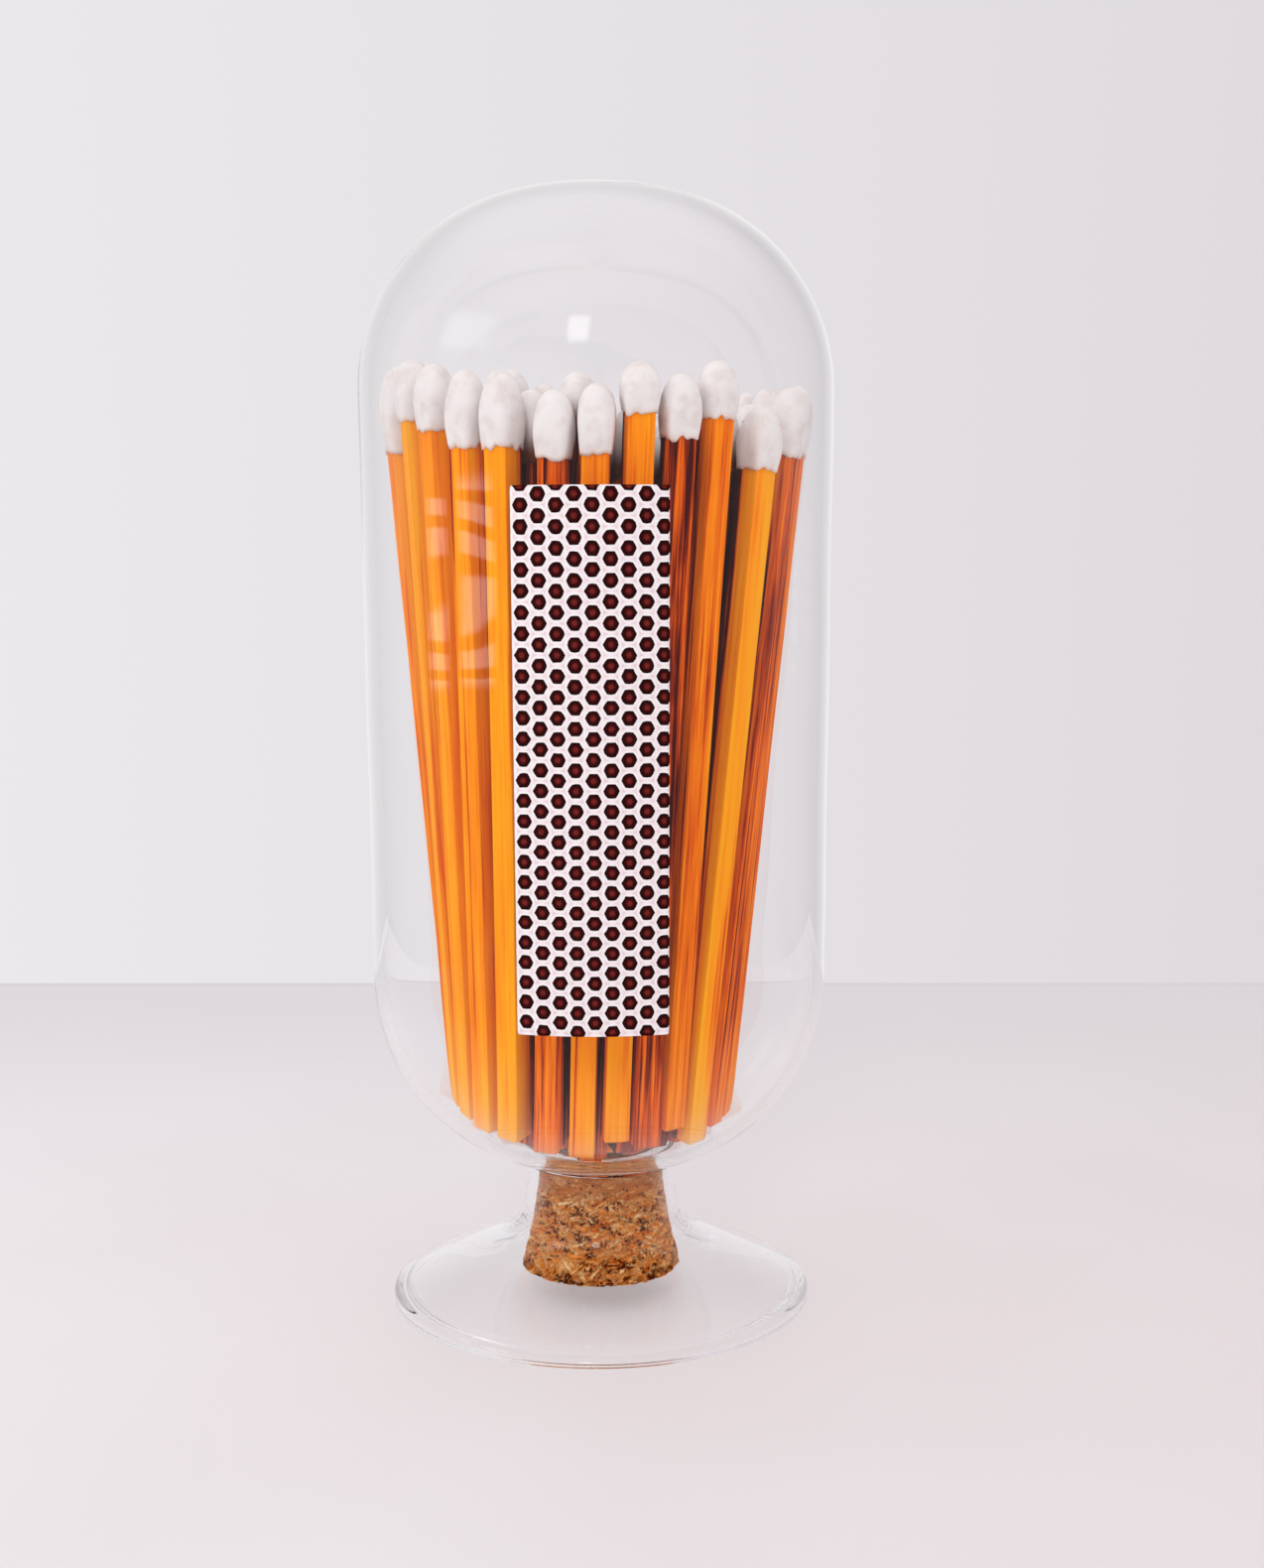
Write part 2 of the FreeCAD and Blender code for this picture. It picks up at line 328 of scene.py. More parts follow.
def thinnedPath(path, step, turnStep):
    # spaces points evenly in s / step + turn / turnStep, so that bends get more of them
    ahead = np.diff(path, axis=0)
    gone = np.linalg.norm(ahead, axis=1)
    heading = np.unwrap(np.arctan2(ahead[:, 1], ahead[:, 0]))
    turned = abs(np.diff(heading, append=heading[-1]))
    spent = np.append(0, np.cumsum(gone / step + turned / math.radians(turnStep)))
    at = np.linspace(0, spent[-1], int(spent[-1]) + 1)
    return np.stack([np.interp(at, spent, path[:, k]) for k in range(2)], axis=-1)


def clochePath(g):
    # half section of the glass, from the top of the hollow down inside, round the rim, up outside
    top = boxOf("glass_cloche")[1][2]
    crown = (0, top - g["crownRadius"])
    haunchAcross = g["bodyRadius"] - g["haunchRadius"]
    haunchAlong = math.sqrt((g["crownRadius"] - g["haunchRadius"]) ** 2 - haunchAcross ** 2)
    haunch = (haunchAcross, crown[1] + haunchAlong)
    meeting = math.degrees(math.atan2(haunchAlong, haunchAcross))
    bowl = (g["bodyRadius"] - g["bowlRadius"], g["wallFootHeight"])
    taper = (g["boreBottomRadius"] - g["boreTopRadius"]) / g["corkHeight"]

    def bore(height):
        return g["boreBottomRadius"] - taper * (height - g["corkRecess"])

    def bowlAngle(radius, size):
        return math.degrees(-math.acos((radius - bowl[0]) / size))
    inner = g["bowlRadius"] - g["wall"]
    innerLow = g["wallFootHeight"] - inner
    outerLow = g["wallFootHeight"] - g["bowlRadius"]
    knee = np.array([bore(g["kneeHeight"]) + g["neckWall"], g["kneeHeight"]])
    rimTop = np.array([g["footRadius"], g["rimHeight"]])
    slope = (knee[1] - rimTop[1]) / (rimTop[0] - knee[0])
    drop = g["wall"] * math.hypot(1, slope)
    boreFoot = g["kneeHeight"] - drop / (1 - slope * taper)
    rimInside = g["footRadius"] - g["rimWidth"]
    underRim = knee[1] - slope * (rimInside - knee[0]) - drop
    neckTop = np.array([bore(outerLow) + g["neckWall"], outerLow])
    throat = np.array([bore(innerLow), innerLow])
    boreEnd = np.array([bore(boreFoot), boreFoot])
    throatAngle = bowlAngle(max(throat[0], bowl[0]), inner)
    neckAngle = bowlAngle(max(neckTop[0], bowl[0]), g["bowlRadius"])
    step = g["fineStep"] * 3
    rim = [(rimInside, underRim), (rimInside, 0), (g["footRadius"], 0), rimTop]
    inside = [
        arcPoints(crown, g["crownRadius"] - g["wall"], 90, meeting, step),
        arcPoints(haunch, g["haunchRadius"] - g["wall"], meeting, 0, step),
        arcPoints(bowl, inner, 0, throatAngle, step),
        [throat, boreEnd] + rim + [knee, neckTop],
    ]
    outside = [
        arcPoints(bowl, g["bowlRadius"], neckAngle, 0, step),
        arcPoints(haunch, g["haunchRadius"], 0, meeting, step),
        arcPoints(crown, g["crownRadius"], meeting, 90, step),
    ]
    corners = [(spot, g["rimSoftness"]) for spot in rim]
    corners += [(throat, g["throatSoftness"]), (boreEnd, g["boreSoftness"]),
                (knee, g["kneeSoftness"]), (neckTop, g["neckSoftness"])]
    # the points on the axis are left out, because each end closes on the mean of its ring
    smooth = softenedPath(np.vstack(inside + outside), corners, g["fineStep"])
    return thinnedPath(smooth, g["step"], g["turnStep"])[1:-1]


def lathed(path, around, wobble):
    # (1, rings, around, 3): radius and height turned about Z with w the wobble there,
    # x = (r + w) cos a and y = (r + w) sin a
    turn = np.arange(around) * tau / around
    radius = path[:, :1] + wobble(path[:, :1], path[:, 1:], turn[None])
    height = np.repeat(path[:, 1:], around, axis=1)
    return np.stack([radius * np.cos(turn), radius * np.sin(turn), height], axis=-1)[None]


def glassCloche():
    g = glassForm
    chance = np.random.default_rng(g["seed"])
    waves = [(count, rise, chance.uniform(0, tau)) for count, rise in g["waves"]]

    def wobble(radius, height, turn):
        # blown glass is never quite true: a few slow waves round and up the wall, none on the floor
        wave = sum(np.sin(count * turn + height / rise * tau + phase) / count
                   for count, rise, phase in waves)

        def over(start, fade):
            return smoothStep(height, g[start], g[start] + g[fade])
        onFoot = 1 - over("kneeHeight", "fadeOverKnee")
        size = g["bodyWobble"] + (g["footWobble"] - g["bodyWobble"]) * onFoot
        offAxis = smoothStep(radius, g["stillRadius"], g["wavyRadius"])
        free = over("rimHeight", "fadeOverRim") * offAxis
        inNeck = (height < g["neckTop"]) * (radius < g["neckReach"])
        return wave * size * free * (1 - over("corkRecess", "fadeOverCork") * inNeck)

    piece = tubePiece("glassCloche", lathed(clochePath(g), g["around"], wobble), {})
    dress(piece, clearGlass(), "clear_glass", "glass_cloche")


def clearGlass():
    f = glassFinish
    material, shader, place = newFinish("clearGlass", 0.0, 0.5, {
        "Base Color": f["tint"], "IOR": f["ior"], "Specular Tint": f["mirrorTint"],
        "Transmission Weight": 1.0})
    wave = place.stretched(f["waveStretch"]).noise(f["waveSize"], detail=1.0)
    plug(shader.inputs["Normal"], wave.relief(f["waveDepth"]))
    # lamp light and light from neighbours goes straight through, so that the matches are lit
    tree = material.node_tree
    straight = rayIs(tree, "Shadow").by("MAXIMUM", rayIs(tree, "Diffuse"))
    clear = straight.node("BsdfTransparent", {}, {"Color": f["shadowTint"]})
    whole = straight.node("MixShader", {}, {0: straight, 1: Signal(shader.outputs[0]), 2: clear})
    plug(tree.nodes["Material Output"].inputs["Surface"], whole)
    return material


glassCloche()
print("glass cloche made")


# Cork stopper

corkForm = {
    "rounding": 0.5,
    "around": 380,
    "step": 0.23,
    "turnStep": 12.0,
    "flakes": 4200,
    "flakeLength": 2.0,  # half sizes
    "flakeWidth": 0.19,
    "sizeSpread": (0.6, 1.5),
    "widthSpread": (0.7, 1.6),
    "steepest": 48.0,
    "mostRise": 1.2,  # of one flake over another, without unit
    "leastHeight": -0.6,
    "creviceDepth": 0.24,
    "creviceWidth": 0.26,
    "flakeRelief": 0.15,
    "looseFrom": 0.6,  # share of the flakes that can't crumb off
    "crumbDepth": 0.7,
    "crumbHeight": 2.4,
    "pressedFrom": 11.5,
    "pressedTo": 14.5,
    "pressedFlat": 0.8,  # how much of the relief and of the dark crevices the neck presses away
    "pressedPlain": 0.75,
    "proud": 0.24,  # how far the free lower end stands out again
    "freeFrom": 1.5,
    "freeTo": 4.2,
    "parts": 110,  # the points are worked on in so many parts, to save memory
    "seed": 11,
}
corkFinish = {
    "shades": ((0.0, colour(206, 82, 4)), (0.4, colour(255, 154, 56)),
               (0.85, colour(255, 216, 158))),
    "pressed": colour(188, 110, 62),
    "crevice": colour(92, 26, 0),
    "pit": colour(84, 34, 10),
    "streakStretch": (0.5, 2.4, 1.0),
    "openStretch": (1, 1, 1.8),
    "flakeShare": 0.5,
    "streakShare": 2.0,
    "grainShare": 0.7,
    "lessTone": 1.16,
    "creviceShare": 0.35,
    "openShare": 1.4,  # more of the crevices show in the open places
    "speckShare": 0.1,
    "holeShare": 0.25,
}


def corkPath(form):
    # half section from the middle of the lower end out, up the taper and in to the middle
    low, high = boxOf("cork_stopper")
    bottom = high[0]
    top = bottom - (glassForm["boreBottomRadius"] - glassForm["boreTopRadius"])
    corners = [(0, low[2]), (bottom, low[2]), (top, high[2]), (0, high[2])]
    soft = [((bottom, low[2]), form["rounding"]), ((top, high[2]), form["rounding"])]
    path = softenedPath(np.array(corners), soft, glassForm["fineStep"])
    return thinnedPath(path, form["step"], form["turnStep"])[1:-1]


def topFlakes(points, chance, form):
    # Flakes are flat ellipses strewn over the cork: at each point the one on top is the one with
    # the least (along / length)^2 + (across / width)^2 - rise, and the gap to the next shows edges
    count = form["flakes"]
    radius = np.hypot(points[:, 0], points[:, 1])
    seeds = points[chance.choice(len(points), count, p=radius / radius.sum())]
    out = seeds * (1, 1, 0) / np.maximum(np.hypot(seeds[:, 0], seeds[:, 1]), 0.1)[:, None]
    level = np.stack([-out[:, 1], out[:, 0], 0 * out[:, 0]], axis=-1)
    onEnd = (seeds[:, 2] < points[:, 2].min() + 0.1) | (seeds[:, 2] > points[:, 2].max() - 0.1)
    rising = np.where(onEnd[:, None], out, (0, 0, 1))
    slope = np.radians(chance.uniform(-form["steepest"], form["steepest"], (count, 1)))
    along = level * np.cos(slope) + rising * np.sin(slope)
    length = form["flakeLength"] * chance.uniform(*form["sizeSpread"], count)
    width = form["flakeWidth"] * chance.uniform(*form["widthSpread"], count)
    rise = chance.uniform(0, form["mostRise"], count)
    reach = form["flakeLength"] * 2
    found = []
    for part in np.array_split(points, form["parts"]):
        near = np.flatnonzero(abs(seeds[:, 2] - part[:, 2].mean()) < reach)
        away = part[:, None] - seeds[near][None]
        run = np.einsum("vsi,si->vs", away, along[near])
        beside = np.sqrt(np.maximum((away ** 2).sum(axis=2) - run ** 2, 0))
        measure = (run / length[near]) ** 2 + (beside / width[near]) ** 2 - rise[near]
        best = measure.argmin(axis=1)
        two = np.partition(measure, 1, axis=1)[:, :2]
        top = np.arange(len(part)), best
        gap, height = two[:, 1] - two[:, 0], -two[:, 0]
        found.append(np.stack([near[best], gap, height, run[top], beside[top]], axis=-1))
    return np.concatenate(found)


def corkStopper():
    c = corkForm
    chance = np.random.default_rng(c["seed"])
    plain = lathed(corkPath(c), c["around"], lambda radius, height, turn: 0 * turn)[0]
    rings, around = plain.shape[:2]
    points = plain.reshape(-1, 3)
    flake, gap, height, run, beside = topFlakes(points, chance, c).T
    flake = flake.astype(int)
    tone = chance.uniform(0, 1, c["flakes"])[flake]
    loose = chance.uniform(0, 1, c["flakes"])[flake]
    crevice = np.exp(-gap / c["creviceWidth"])
    low, high = points[:, 2].min(), points[:, 2].max()
    up = points[:, 2] - low
    pressed = smoothStep(up, c["pressedFrom"], c["pressedTo"]) * (points[:, 2] < high - 0.1)
    free = 1 - smoothStep(up, c["freeFrom"], c["freeTo"])
    crumbs = smoothStep(loose, c["looseFrom"], 1.0) * (1 - smoothStep(up, 0, c["crumbHeight"]))
    under = c["mostRise"] - np.clip(height, c["leastHeight"], c["mostRise"])
    sink = c["creviceDepth"] * crevice + c["flakeRelief"] * under
    sink = sink * (1 - c["pressedFlat"] * pressed) + c["crumbDepth"] * crumbs - c["proud"] * free
    # sinks inward all round, up from the lower end and down from the upper one
    inward = points * (1, 1, 0)
    inward = inward / np.maximum(np.linalg.norm(inward, axis=1, keepdims=True), 3.0)
    inward[:, 2] = np.where(up < 0.3, -0.6, np.where(points[:, 2] > high - 0.3, 0.6, 0))
    shaped = (points - inward * sink[:, None]).reshape(1, rings, around, 3)
    marks = {
        "flake": tone,
        "crevice": crevice * (1 - c["pressedPlain"] * pressed),
        "pressed": pressed,
        "strand": np.stack([run, beside, flake * 7.3], axis=-1),
    }
    marks = {key: values.reshape(1, rings, around, -1) for key, values in marks.items()}
    piece = tubePiece("corkStopper", shaped, marks)
    dress(piece, granularCork(), "cork", "cork_stopper")


def granularCork():
    f = corkFinish
    material, shader, place = newFinish("granularCork", 0.8, 0.08, {})
    flake, crevice, pressed = (attributeIn(material, key, "Fac")
                               for key in ("flake", "crevice", "pressed"))
    strand = attributeIn(material, "strand", "Vector")
    streak = strand.stretched(f["streakStretch"]).noise(1.0, detail=3.0)
    grain = place.noise(2.2, detail=4.0, roughness=0.65)
    fine = place.noise(6.0, detail=3.0, roughness=0.7)
    loose = place.stretched(f["openStretch"]).noise(0.45, detail=2.0).between(0.42, 0.6)
    tone = (flake * f["flakeShare"] + streak * f["streakShare"] + grain * f["grainShare"]
            - f["lessTone"]).limited()
    worn = (pressed * (0.95 - tone * 0.7)).limited().mix(tone.ramp(f["shades"]), f["pressed"])
    pits = place.cells(0.8).between(0.22, 0.1) * (pressed * 0.7 + 0.15)
    dark = (crevice * (f["creviceShare"] + loose * f["openShare"])
            + fine.between(0.6, 0.8) * f["speckShare"]
            + loose * grain.between(0.62, 0.75) * f["holeShare"]).limited()
    plug(shader.inputs["Base Color"], pits.limited().mix(dark.mix(worn, f["crevice"]), f["pit"]))
    plug(shader.inputs["Normal"], (fine + grain + streak).relief(0.25, 0.8))
    return material


corkStopper()
print("cork stopper made")


# Striking label: a sheet on the glass and its honeycomb of striking pads

labelForm = {
    "width": 20.4,
    "height": 70.5,
    "thickness": 0.2,
    "cornerShare": 0.02,  # rounding of its corners, as a share of its half sizes
    "perSide": 22,
    "rings": 26,
    "pad": {
        "pitch": 2.65,
        "acrossFlats": 1.89,
        "cornerReach": 1.11,  # its round corners reach so much further than its flats
        "height": 0.13,
        # from its foot over its edge to its middle: share of its reach and of its height
        "section": ((0.5, -0.03), (1.0, -0.03), (0.97, 0.8), (0.62, 1.0), (0.2, 1.0)),
        "firstInset": 1.33,
        "firstRowInset": 1.09,
        "unevenness": 0.03,
        "around": 12,
    },
    "seed": 23,
}
labelFinish = {
    "halo": colour(252, 248, 247),
    "paper": colour(247, 237, 240),
    "shade": colour(226, 202, 207),
    "haloFrom": 0.98,  # distances from the nearest pad's middle
    "haloTo": 1.2,
    "shadeFrom": 1.2,
    "shadeTo": 1.46,
    "leastShade": 0.3,
}
padFinish = {
    "rim": colour(28, 1, 3),
    "shades": ((0.0, colour(48, 3, 5)), (1.0, colour(124, 38, 34))),
    "coreFrom": 0.6,  # the duller middle, as shares of the pad's reach
    "coreTo": 0.1,
    "rimFrom": 0.7,
    "rimTo": 0.98,
}


def onLabel(across, up, out):
    # bends a flat place on the label round the jar: across from its left edge, up from its bottom
    low, high = boxOf("striker_label")
    radius = -low[1] - labelForm["thickness"]
    turn = (across - labelForm["width"] / 2) / (radius + labelForm["thickness"])
    radius = radius + out
    return np.stack([radius * np.sin(turn), -radius * np.cos(turn), low[2] + up], axis=-1)


def roundedSquare(rounding, perSide):
    # a square loop from -1 to 1 with round corners, anticlockwise, with points along its sides too
    bend = np.radians(np.linspace(0, 90, 4))
    corner = 1 - rounding + rounding * np.stack([np.cos(bend), np.sin(bend)], axis=-1)
    share = np.linspace(0, 1, perSide + 2)[1:-1, None]
    side = corner[-1] * (1 - share) + (corner[-1] * (-1, 1)) * share
    quarter = np.concatenate([corner, side])
    turns = [np.array([[math.cos(a), math.sin(a)], [-math.sin(a), math.cos(a)]])
             for a in np.arange(4) * tau / 4]
    return np.concatenate([quarter @ turn for turn in turns])


def strikingLabel():
    l = labelForm
    loop = roundedSquare(l["cornerShare"], l["perSide"])
    half = np.array([l["width"], l["height"]]) / 2
    # out from the middle of the back to the edge, over it, and in to the middle of the front
    share = np.linspace(0.02, 1, l["rings"])
    spread = np.concatenate([share[:-1], [0.998, 1.0, 1.0, 0.998], share[-2::-1]])
    through = np.concatenate([np.zeros(l["rings"]), [0.25, 0.75], np.ones(l["rings"])])
    out = through * l["thickness"]
    flat = half + spread[:, None, None] * loop[None] * half
    rings = onLabel(flat[..., 0], flat[..., 1], out[:, None] + 0 * flat[..., 0])
    marks = {"sheet": np.concatenate([flat, 0 * flat[..., :1]], axis=-1)[None]}
    piece = tubePiece("strikingLabel", rings[None], marks)
    dress(piece, labelPaper(), "label_paper", "striker_label")


def padCentres(pad):
    # a hexagonal pattern in columns, every other column half a pitch lower
    columnPitch = pad["pitch"] * math.cos(math.radians(30))
    columns = int((labelForm["width"] - pad["firstInset"]) / columnPitch) + 1
    rows = int(labelForm["height"] / pad["pitch"]) + 1
    column, row = np.meshgrid(np.arange(columns), np.arange(-1, rows), indexing="ij")
    across = pad["firstInset"] + column * columnPitch
    down = pad["firstRowInset"] + (row + 0.5 * ((column + 1) % 2)) * pad["pitch"]
    up = labelForm["height"] - down
    inside = (up > -0.5) & (down > -0.5)
    return across[inside], up[inside]


def strikerPads():
    p = labelForm["pad"]
    chance = np.random.default_rng(labelForm["seed"])
    across, up = padCentres(p)
    count = len(across)
    # r(a) is a hexagon's with round corners, the lesser of its side's distance and a circle's
    turn = np.arange(p["around"]) * tau / p["around"]
    within = turn % (tau / 6) - tau / 12
    hexagon = p["acrossFlats"] / 2 / np.cos(abs(within))
    reach = np.minimum(hexagon, p["acrossFlats"] / 2 * p["cornerReach"])
    reach = reach[None] * (1 + chance.normal(0, p["unevenness"], (count, p["around"])))
    outline = np.stack([across[:, None] + reach * np.cos(turn),
                        up[:, None] + reach * np.sin(turn)], axis=-1)
    outline = np.clip(outline, 0, (labelForm["width"], labelForm["height"]))
    middle = outline.mean(axis=1, keepdims=True)
    spread, rise = np.array(p["section"]).T
    out = rise * p["height"] + labelForm["thickness"]
    flat = middle[:, None] + spread[None, :, None, None] * (outline - middle)[:, None]
    rings = onLabel(flat[..., 0], flat[..., 1], out[None, :, None] + 0 * flat[..., 0])
    marks = {"rim": np.broadcast_to(spread[None, :, None], flat.shape[:3])}
    piece = tubePiece("strikerPads", rings, marks)
    dress(piece, strikingCompound(), "striking_compound", "striker_pads")


def labelPaper():
    # The print leaves a white ring round each pad and a duller tint between three of them. The
    # distance to the nearest pad is that to the nearer of two lattices, one for every other column.
    f = labelFinish
    p = labelForm["pad"]
    material, shader, place = newFinish("labelPaper", 0.6, 0.3, {})
    sheet = attributeIn(material, "sheet", "Vector")
    across, up = sheet.part("X"), sheet.part("Y")
    wide = 2 * p["pitch"] * math.cos(math.radians(30))

    def away(shift, lift):
        # distance to the nearest point of a lattice, wide by a pitch
        column = (across * (1 / wide) + shift).by("FRACT") - 0.5
        row = (up * (1 / p["pitch"]) + lift).by("FRACT") - 0.5
        return ((column * wide) ** 2.0 + (row * p["pitch"]) ** 2.0) ** 0.5
    shift = 0.5 - p["firstInset"] / wide
    lift = 0.5 - (labelForm["height"] - p["firstRowInset"]) / p["pitch"]
    nearest = away(shift, lift + 0.5).by("MINIMUM", away(shift + 0.5, lift))
    mottle = sheet.noise(0.9, detail=3.0, roughness=0.6)
    dull = nearest.between(f["shadeFrom"], f["shadeTo"]) * (f["leastShade"] + mottle)
    base = nearest.between(f["haloFrom"], f["haloTo"]).mix(f["halo"], f["paper"])
    plug(shader.inputs["Base Color"], dull.limited().mix(base, f["shade"]))
    plug(shader.inputs["Normal"], place.noise(9.0, detail=3.0).relief(0.02, 0.6))
    return material


def strikingCompound():
    f = padFinish
    material, shader, place = newFinish("strikingCompound", 0.85, 0.1, {})
    rim = attributeIn(material, "rim", "Fac")
    patch = place.noise(1.4, detail=3.0, roughness=0.6)
    grit = place.noise(7.0, detail=2.0, roughness=0.6)
    inside = 1 - rim.between(f["coreTo"], f["coreFrom"])
    core = (inside * (0.4 + patch) + (grit - 0.5) * 0.3).limited()
    edge = rim.between(f["rimFrom"], f["rimTo"])
    plug(shader.inputs["Base Color"], edge.mix(core.ramp(f["shades"]), f["rim"]))
    plug(shader.inputs["Normal"], grit.relief(0.1, 0.9))
    return material


strikingLabel()
strikerPads()
print("striking label made")


# Matches: sticks read from the frame, each given its own grain, and a dipped head on each

stickForm = {
    "width": 3.5,
    "cornerRounding": 0.14,
    "perSide": 4,
    "rings": 26,
    "bow": 0.13,
    "taper": 0.02,
    "fibreDepth": 0.04,
    # 0 is the palest and 1 the darkest, round the jar and over again
    "tones": (0.3, 0.2, 0.28, 0.33, 0.22, 0.68, 0.34, 0.46, 0.78, 0.48, 0.18, 0.6, 0.5),
    "toneSpread": 0.03,
    # the inner rings' sticks are darker, painted shade inside the bunch
    "innerShadeTone": 0.62,
    "innerSpread": 0.4,
    # painted shade where the sticks touch, darker on the right, away from the light
    "seamShade": 0.85,
    "seamShadeLean": 0.12,  # and so much darker on the right
    "seamFrom": 0.05,  # -1 at a stick's outer face, 1 at its inner one
    "seamTo": 0.8,
    # painted light: paler towards their feet, as the floor mirrored in the glass below them
    "footLightTone": -0.18,  # paler towards their feet
    "footFrom": 52.0,
    "footTo": 26.0,
    "seed": 31,
}
stickFinish = {
    "shades": ((0.0, colour(255, 176, 14)), (0.32, colour(255, 144, 2)), (0.6, colour(232, 96, 0)),
               (0.82, colour(150, 40, 0)), (1.0, colour(64, 4, 0))),
    "broadStretch": (0.6, 0.6, 0.02),
    "fibreStretch": (1.9, 1.9, 0.045),
    "crackStretch": (1.3, 1.3, 0.02),
    "blotchStretch": (0.2, 0.2, 0.05),
    "broadShare": 0.6,
    "leastFibre": 0.5,
    "fibreShare": 1.6,  # the darker the stick, the stronger its fibres
    "blotchShare": 0.4,
    "crackShare": 0.35,
}
# dips and tips in millimetres, dealt out to the heads of a ring in turn: how much further the
# compound reaches down the stick, and how much higher the tip is
headForm = {
    "length": 9.2,
    "tipAboveStick": 4.2,
    "neckWidth": 4.05,
    "widest": 4.85,
    "widestShare": 0.56,
    "raggedness": 0.44,
    "edgeWaves": (2, 4, 7, 10),
    "lumps": 0.05,
    "lumpWaves": (2, 3, 5),
    "around": 36,
    "dips": (1.9, -2.1, -1.2, 0.3, 0.3, 0.9, 0.0, -3.2, -1.3, -2.1, 1.1, 0.3, 0.0),
    "tips": (0.0, 0.5, 0.3, 0.0, 0.0, -1.6, -0.6, 0.2, 0.0, 0.0, -2.0, -0.5, 0.0),
    "dealStep": 5,
    "seed": 47,
}
headFinish = {
    "body": colour(234, 228, 227),
    "shade": colour(223, 212, 209),
    "stain": colour(232, 170, 120),
    # painted shade low on the heads of the inner rings
    "inner": colour(104, 44, 14),
}


def looseBoxes(name):
    # the corners of each separate box of a node, (boxes, 8, 3) in millimetres
    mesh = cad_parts[name].data
    points = np.empty(len(mesh.vertices) * 3, np.float32)
    mesh.vertices.foreach_get("co", points)
    corners = np.empty(len(mesh.loops), np.int32)
    mesh.loops.foreach_get("vertex_index", corners)
    rounded = np.round(points.reshape(-1, 3).astype(float) / mm, 3)
    merged, index = np.unique(rounded, axis=0, return_inverse=True)
    triangles = index.ravel()[corners].reshape(-1, 3)
    label = np.arange(len(merged))
    while True:
        lowest = label.copy()
        np.minimum.at(lowest, triangles.ravel(), np.repeat(label[triangles].min(axis=1), 3))
        if (lowest == label).all():
            break
        label = lowest
    return merged[np.argsort(label, kind="stable")].reshape(-1, 8, 3)


def stickFrames(name):
    # foot, axis, side, other side and length of each stick of a node
    corners = looseBoxes(name)
    centre = corners.mean(axis=1)
    away = corners - centre[:, None]
    axis = np.linalg.eigh(np.einsum("kci,kcj->kij", away, away))[1][:, :, 2]
    axis *= np.sign(axis[:, 2:])
    along = np.einsum("kci,ki->kc", away, axis)
    length = 2 * along.max(axis=1)
    foot = centre - axis * length[:, None] / 2
    first = np.take_along_axis(away, along.argmin(axis=1)[:, None, None], axis=1)[:, 0]
    diagonal = first + axis * length[:, None] / 2
    half = np.linalg.norm(diagonal, axis=1, keepdims=True)
    diagonal /= half
    side = (diagonal + np.cross(axis, diagonal)) / math.sqrt(2)
    return {"foot": foot, "axis": axis, "side": side, "other": np.cross(axis, side),
            "length": length, "width": half[:, 0] * math.sqrt(2)}


def inStick(sticks, local):
    # carries local x, y, z along each stick's side, other side and axis
    frames = np.stack([sticks["side"], sticks["other"], sticks["axis"]], axis=1)
    return sticks["foot"][:, None, None] + np.einsum("kmnc,kci->kmni", local, frames)


def seamShade(sticks, loop):
    # Painted shade where the sticks touch. A loop point (x, y) lies -(x, y) . o deep, with o
    # the way out of the bunch in the stick's own frame, and the painted shade is darker on the
    # right.
    s = stickForm
    top = sticks["foot"] + sticks["axis"] * sticks["length"][:, None] * 0.8
    out = top * (1, 1, 0) / np.hypot(top[:, 0], top[:, 1])[:, None]
    ways = np.stack([(sticks[key] * out).sum(axis=1) for key in ("side", "other")], axis=-1)
    depth = smoothStep(-ways @ loop.T, s["seamFrom"], s["seamTo"])
    return s["seamShade"] * (1.0 + s["seamShadeLean"] * out[:, :1]) * depth


def stickPiece(name, sticks, tones, chance, material, node):
    # Each stick is a square loop with round edges carried along its axis. The loop shifts by a
    # slow bow b sin(pi z / L), and each lengthwise line of it is sunk by its own shallow groove.
    s = stickForm
    count = len(sticks["foot"])
    loop = roundedSquare(s["cornerRounding"] * 2 / s["width"], s["perSide"])
    around = len(loop)
    ends = np.array([0.0, 0.0, 0.0012])
    share = np.concatenate([ends, np.linspace(0.004, 0.996, s["rings"]), 1 - ends[::-1]])
    spread = np.concatenate([[0.55, 0.93], np.ones(len(share) - 4), [0.93, 0.55]])
    groove = s["fibreDepth"] * chance.uniform(0, 1, (count, 1, around)) ** 2
    waving = share[None, :, None] * chance.uniform(4, 16, (count, 1, around))
    drift = 0.5 + 0.5 * np.sin(waving + chance.uniform(0, tau, (count, 1, around)))
    slimness = 1 + s["taper"] * chance.uniform(-1, 0.4, (count, 1, 1))
    half = sticks["width"][:, None, None] / 2 * slimness
    size = half * spread[None, :, None] - groove * drift
    bend = s["bow"] * np.sin(share * math.pi)
    bow = bend[None, :, None] * chance.uniform(-1, 1, (2, count, 1, 1))
    x = loop[None, None, :, 0] * size + bow[0]
    y = loop[None, None, :, 1] * size + bow[1]
    z = share[None, :, None] * sticks["length"][:, None, None] + 0 * x
    local = np.stack([x, y, z], axis=-1)
    grain = local + chance.uniform(-400, 400, (count, 1, 1, 3))
    # each stick's own tone plus the painted shade where it touches its neighbours
    tone = tones[:, None, None] + seamShade(sticks, loop)[:, None]
    marks = {"grain": grain, "tone": np.broadcast_to(tone, x.shape)}
    piece = tubePiece(name, inStick(sticks, local), marks)
    dress(piece, material, "match_wood", node)


